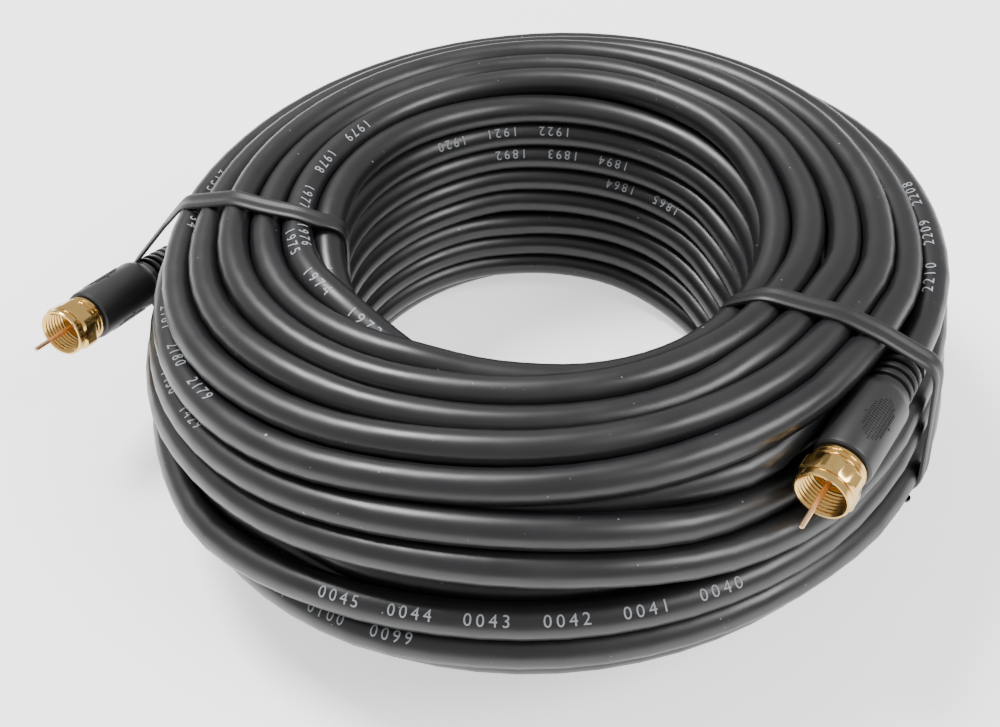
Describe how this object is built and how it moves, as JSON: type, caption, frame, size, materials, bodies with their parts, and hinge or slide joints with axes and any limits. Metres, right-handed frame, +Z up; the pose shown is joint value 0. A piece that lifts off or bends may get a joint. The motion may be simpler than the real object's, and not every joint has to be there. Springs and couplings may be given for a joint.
{
  "type": "coaxial cable coil",
  "caption": "Round hank of black coaxial lead lying flat, with moulded screw-on plugs at both ends and flat ties holding its turns.",
  "frame": {"origin": "on the floor, under the middle of the whole part's bounding box", "axes": "+Z up along the coil's axis, +X towards the right-hand side, along the part's longest extent, +Y to the back"},
  "size_m": [0.2046, 0.1848, 0.0657],
  "materials": {
    "jacket": "satin extruded PVC",
    "boot": "fine moulded PVC",
    "tie": "satin ribbed band",
    "nut": "bright gold-coloured plating",
    "post": "bright gold-coloured plating",
    "dielectric": "matt foam",
    "conductor": "bright drawn copper"
  },
  "bodies": {
    "coil": {"cable_coil": "jacket", "cable_tail_a": "jacket", "cable_tail_b": "jacket", "tie_a": "tie", "tie_b": "tie", "boot_a": "boot", "boot_b": "boot", "post_a": "post", "post_b": "post", "dielectric_a": "dielectric", "dielectric_b": "dielectric", "conductor_a": "conductor", "conductor_b": "conductor"},
    "nut_a": {"nut_a": "nut"},
    "nut_b": {"nut_b": "nut"}
  },
  "joints": [
    {"name": "nut_spin_a", "type": "hinge", "parent": "coil", "child": "nut_a", "pos_m": [-0.09381, -0.00035, 0.0364], "axis": [-0.4118, -0.8831, 0.225], "continuous": true},
    {"name": "nut_spin_b", "type": "hinge", "parent": "coil", "child": "nut_b", "pos_m": [0.06376, -0.06748, 0.052], "axis": [-0.5819, -0.8128, -0.0262], "continuous": true}
  ]
}
